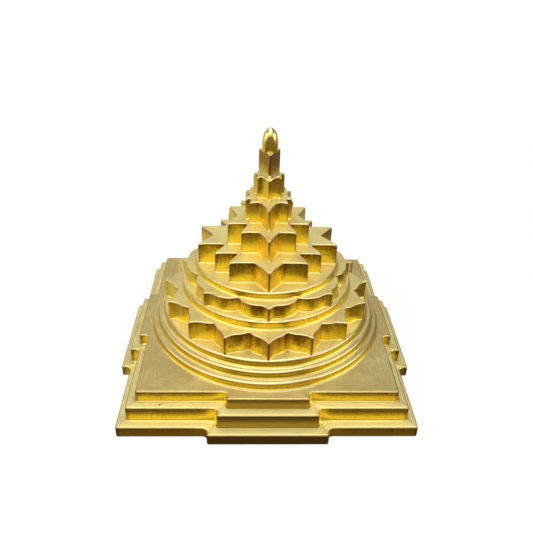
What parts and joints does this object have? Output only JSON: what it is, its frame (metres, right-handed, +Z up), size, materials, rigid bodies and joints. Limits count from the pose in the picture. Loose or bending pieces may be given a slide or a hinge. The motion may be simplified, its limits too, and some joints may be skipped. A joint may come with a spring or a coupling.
{
  "type": "meru shri yantra",
  "caption": "Free-standing brass meru shri yantra: gated square plates, round steps, petal rings and stars of crossed triangles rise in tiers to a pointed bindu.",
  "frame": {"origin": "centre of the underside of the lowest square plate", "axes": "+Z up along the tie rod to the bindu, -Y the front, where the central triangle points"},
  "size_m": [0.0764, 0.0764, 0.0638],
  "materials": {
    "brass": "satin, fine milled",
    "steel": "plain"
  },
  "bodies": {
    "root": {"lower_square_plate": "brass", "middle_square_plate": "brass", "upper_square_plate": "brass", "lower_round_step": "brass", "middle_round_step": "brass", "upper_round_step": "brass", "sixteen_petal_lotus": "brass", "lotus_seat": "brass", "eight_petal_lotus": "brass", "star_seat": "brass", "fourteen_point_star": "brass", "lower_ten_point_star": "brass", "upper_ten_point_star": "brass", "eight_point_star": "brass", "central_triangle": "brass", "bindu": "brass", "tie_rod": "steel", "clamp_washer": "steel", "clamp_nut": "steel", "long_dowels": "steel", "short_dowels": "steel"}
  },
  "joints": []
}
